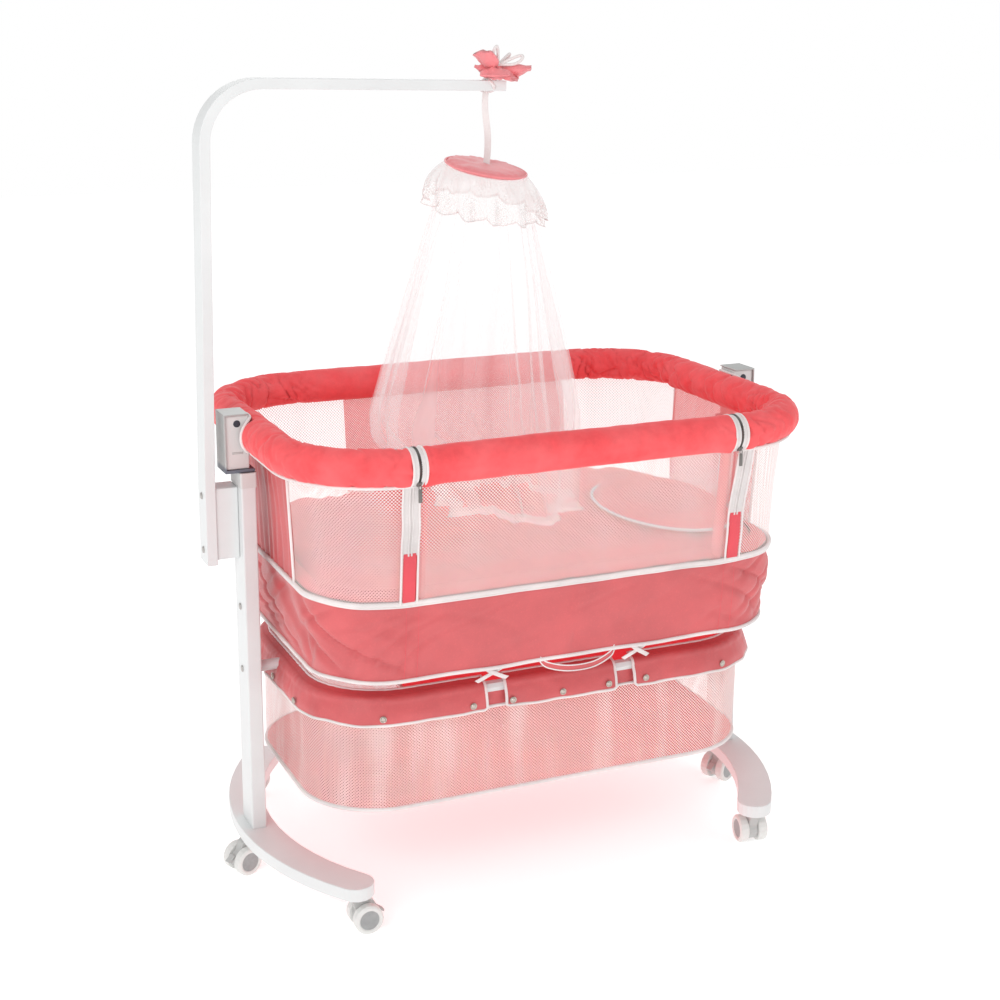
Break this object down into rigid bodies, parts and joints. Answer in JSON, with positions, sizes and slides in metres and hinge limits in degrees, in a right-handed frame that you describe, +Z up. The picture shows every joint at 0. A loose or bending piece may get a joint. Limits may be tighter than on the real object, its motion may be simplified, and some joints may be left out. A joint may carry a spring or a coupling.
{
  "type": "baby crib",
  "caption": "Swinging co-sleeper baby crib on two posts with crescent feet on casters, lifting cradle, drop-down front rail, storage basket and mosquito-net pole.",
  "frame": {"origin": "middle of the footprint, on the floor", "axes": "+Z up, +X along the crib away from the net pole, -Y the front with the drop-down rail"},
  "size_m": [1.1414, 0.7659, 1.4902],
  "materials": {
    "white_paint": "satin powder coat",
    "white_lacquer": "white lacquer",
    "white_tube": "white powder coat",
    "white_plastic": "fine satin",
    "grey_plastic": "matte",
    "slate_metal": "satin",
    "steel": "zinc plated",
    "coral_plush": "short plush pile",
    "coral_satin": "satin weave",
    "white_mesh": "white knitted net",
    "coral_quilt": "plain cotton",
    "white_lace": "sheer tulle and lace",
    "board": "plain board"
  },
  "bodies": {
    "stand": {"foot_left": "white_lacquer", "foot_right": "white_lacquer", "post_left": "white_paint", "post_right": "white_paint", "post_collar_left": "white_plastic", "post_collar_right": "white_plastic", "guide_screw_left": "steel", "guide_screw_right": "steel", "frame_bolt_left": "steel", "frame_bolt_right": "steel", "lower_frame": "white_tube", "flap_left": "coral_satin", "flap_right": "coral_satin", "flap_front": "coral_satin", "flap_back": "coral_satin", "basket": "white_mesh", "net_pole": "white_lacquer", "pole_spacer": "white_lacquer", "pole_bolt_lower": "steel", "pole_bolt_upper": "steel", "net_strap": "white_lace", "net_crown": "coral_satin", "net_lace": "white_lace", "net_drape": "white_lace", "pole_bow": "coral_satin"},
    "lift_left": {"inner_post_left": "steel", "pivot_bracket_left": "slate_metal", "pivot_housing_left": "white_plastic"},
    "lift_right": {"inner_post_right": "steel", "pivot_bracket_right": "slate_metal", "pivot_housing_right": "white_plastic"},
    "cradle": {"top_frame": "white_tube", "rim_cover": "coral_plush", "tray_board": "board", "mattress": "coral_quilt", "pillow": "coral_quilt", "wall_fabric": "white_mesh", "front_panel": "white_mesh", "skirt": "coral_satin"},
    "drop_side": {"front_rail": "white_tube", "front_rail_cover": "coral_plush"},
    "caster_left_front": {"caster_body_left_front": "grey_plastic"},
    "wheels_left_front": {"caster_wheels_left_front": "white_plastic"},
    "brake_left_front": {"caster_brake_left_front": "grey_plastic"},
    "caster_left_middle": {"caster_body_left_middle": "grey_plastic"},
    "wheels_left_middle": {"caster_wheels_left_middle": "white_plastic"},
    "brake_left_middle": {"caster_brake_left_middle": "grey_plastic"},
    "caster_left_back": {"caster_body_left_back": "grey_plastic"},
    "wheels_left_back": {"caster_wheels_left_back": "white_plastic"},
    "brake_left_back": {"caster_brake_left_back": "grey_plastic"},
    "caster_right_front": {"caster_body_right_front": "grey_plastic"},
    "wheels_right_front": {"caster_wheels_right_front": "white_plastic"},
    "brake_right_front": {"caster_brake_right_front": "grey_plastic"},
    "caster_right_middle": {"caster_body_right_middle": "grey_plastic"},
    "wheels_right_middle": {"caster_wheels_right_middle": "white_plastic"},
    "brake_right_middle": {"caster_brake_right_middle": "grey_plastic"},
    "caster_right_back": {"caster_body_right_back": "grey_plastic"},
    "wheels_right_back": {"caster_wheels_right_back": "white_plastic"},
    "brake_right_back": {"caster_brake_right_back": "grey_plastic"}
  },
  "joints": [
    {"name": "lift_left", "type": "slide", "parent": "stand", "child": "lift_left", "axis": [0, 0, 1], "range_m": [0, 0.12], "deforming": ["net_drape"]},
    {"name": "lift_right", "type": "slide", "parent": "stand", "child": "lift_right", "axis": [0, 0, 1], "range_m": [0, 0.12]},
    {"name": "swing", "type": "hinge", "parent": "lift_left", "child": "cradle", "pos_m": [0.01875, 0, 0.855], "axis": [1, 0, 0], "range_deg": [-6, 6]},
    {"name": "side_drop", "type": "slide", "parent": "cradle", "child": "drop_side", "axis": [0, 0.1096, -0.994], "range_m": [0, 0.155], "deforming": ["front_panel"]},
    {"name": "swivel_left_front", "type": "hinge", "parent": "stand", "child": "caster_left_front", "pos_m": [-0.39373, -0.3, 0.071], "axis": [0, 0, 1], "continuous": true},
    {"name": "roll_left_front", "type": "hinge", "parent": "caster_left_front", "child": "wheels_left_front", "pos_m": [-0.37573, -0.3, 0.027], "axis": [0, 1, 0], "continuous": true},
    {"name": "brake_left_front", "type": "hinge", "parent": "caster_left_front", "child": "brake_left_front", "pos_m": [-0.35538, -0.3, 0.03875], "axis": [0, 1, 0], "range_deg": [0, 15]},
    {"name": "swivel_left_middle", "type": "hinge", "parent": "stand", "child": "caster_left_middle", "pos_m": [-0.50325, 0, 0.071], "axis": [0, 0, 1], "continuous": true},
    {"name": "roll_left_middle", "type": "hinge", "parent": "caster_left_middle", "child": "wheels_left_middle", "pos_m": [-0.52027, -0.00586, 0.027], "axis": [0.3256, -0.9455, 0], "continuous": true},
    {"name": "brake_left_middle", "type": "hinge", "parent": "caster_left_middle", "child": "brake_left_middle", "pos_m": [-0.53951, -0.01249, 0.03875], "axis": [0.3256, -0.9455, 0], "range_deg": [0, 15]},
    {"name": "swivel_left_back", "type": "hinge", "parent": "stand", "child": "caster_left_back", "pos_m": [-0.39373, 0.3, 0.071], "axis": [0, 0, 1], "continuous": true},
    {"name": "roll_left_back", "type": "hinge", "parent": "caster_left_back", "child": "wheels_left_back", "pos_m": [-0.40932, 0.309, 0.027], "axis": [-0.5, -0.866, 0], "continuous": true},
    {"name": "brake_left_back", "type": "hinge", "parent": "caster_left_back", "child": "brake_left_back", "pos_m": [-0.42694, 0.31918, 0.03875], "axis": [-0.5, -0.866, 0], "range_deg": [0, 15]},
    {"name": "swivel_right_front", "type": "hinge", "parent": "stand", "child": "caster_right_front", "pos_m": [0.43123, -0.3, 0.071], "axis": [0, 0, 1], "continuous": true},
    {"name": "roll_right_front", "type": "hinge", "parent": "caster_right_front", "child": "wheels_right_front", "pos_m": [0.43436, -0.28227, 0.027], "axis": [-0.9848, 0.1736, 0], "continuous": true},
    {"name": "brake_right_front", "type": "hinge", "parent": "caster_right_front", "child": "brake_right_front", "pos_m": [0.43789, -0.26223, 0.03875], "axis": [-0.9848, 0.1736, 0], "range_deg": [0, 15]},
    {"name": "swivel_right_middle", "type": "hinge", "parent": "stand", "child": "caster_right_middle", "pos_m": [0.54075, 0, 0.071], "axis": [0, 0, 1], "continuous": true},
    {"name": "roll_right_middle", "type": "hinge", "parent": "caster_right_middle", "child": "wheels_right_middle", "pos_m": [0.52444, -0.00761, 0.027], "axis": [0.4226, -0.9063, 0], "continuous": true},
    {"name": "brake_right_middle", "type": "hinge", "parent": "caster_right_middle", "child": "brake_right_middle", "pos_m": [0.50599, -0.01621, 0.03875], "axis": [0.4226, -0.9063, 0], "range_deg": [0, 15]},
    {"name": "swivel_right_back", "type": "hinge", "parent": "stand", "child": "caster_right_back", "pos_m": [0.43123, 0.3, 0.071], "axis": [0, 0, 1], "continuous": true},
    {"name": "roll_right_back", "type": "hinge", "parent": "caster_right_back", "child": "wheels_right_back", "pos_m": [0.44814, 0.30616, 0.027], "axis": [-0.342, 0.9397, 0], "continuous": true},
    {"name": "brake_right_back", "type": "hinge", "parent": "caster_right_back", "child": "brake_right_back", "pos_m": [0.46727, 0.31312, 0.03875], "axis": [-0.342, 0.9397, 0], "range_deg": [0, 15]}
  ],
  "couplings": [
    {"joint": "lift_right", "follows": "lift_left", "ratio": 1}
  ]
}
